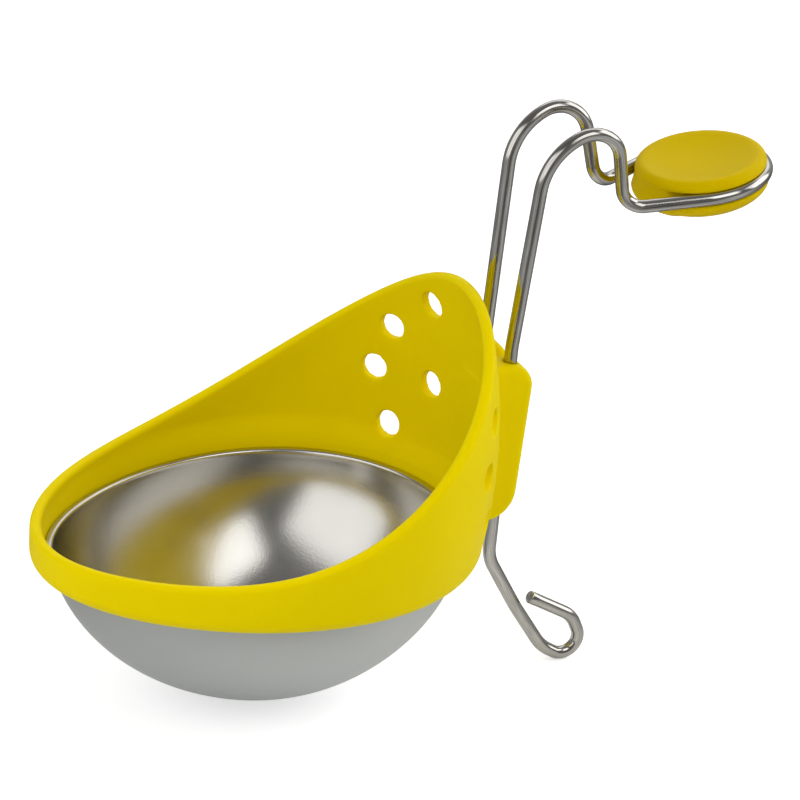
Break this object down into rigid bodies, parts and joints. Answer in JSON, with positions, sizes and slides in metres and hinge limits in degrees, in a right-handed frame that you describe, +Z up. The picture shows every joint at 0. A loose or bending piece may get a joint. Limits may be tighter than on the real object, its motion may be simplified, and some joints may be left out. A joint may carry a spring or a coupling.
{
  "type": "hook-on egg poaching cup",
  "caption": "Egg-shaped steel poaching cup in a yellow pierced collar with a tall back, hung on a pan rim by a bent wire hook with a dished thumb pad.",
  "frame": {"origin": "hook seat: the middle of the wire hook, on the underside of the wire where it rests on the rim of a pan", "axes": "+Z up with the bowl rim level, +X from the cup's low lip towards the thumb pad, Y = 0 is the middle plane between the two wire legs"},
  "size_m": [0.1727, 0.0918, 0.1337],
  "materials": {
    "bowl_steel": "satin pressed stainless steel",
    "wire_steel": "polished drawn stainless wire",
    "collar_yellow": "semi-matte moulded silicone",
    "pad_yellow": "semi-matte moulded silicone"
  },
  "bodies": {
    "holder": {"collar": "collar_yellow", "handle_wire": "wire_steel", "thumb_pad": "pad_yellow"},
    "cup": {"bowl": "bowl_steel"}
  },
  "joints": [
    {"name": "bowl_lift", "type": "slide", "parent": "holder", "child": "cup", "axis": [-0.02, 0, 0.9998], "range_m": [0, 0.1]}
  ]
}
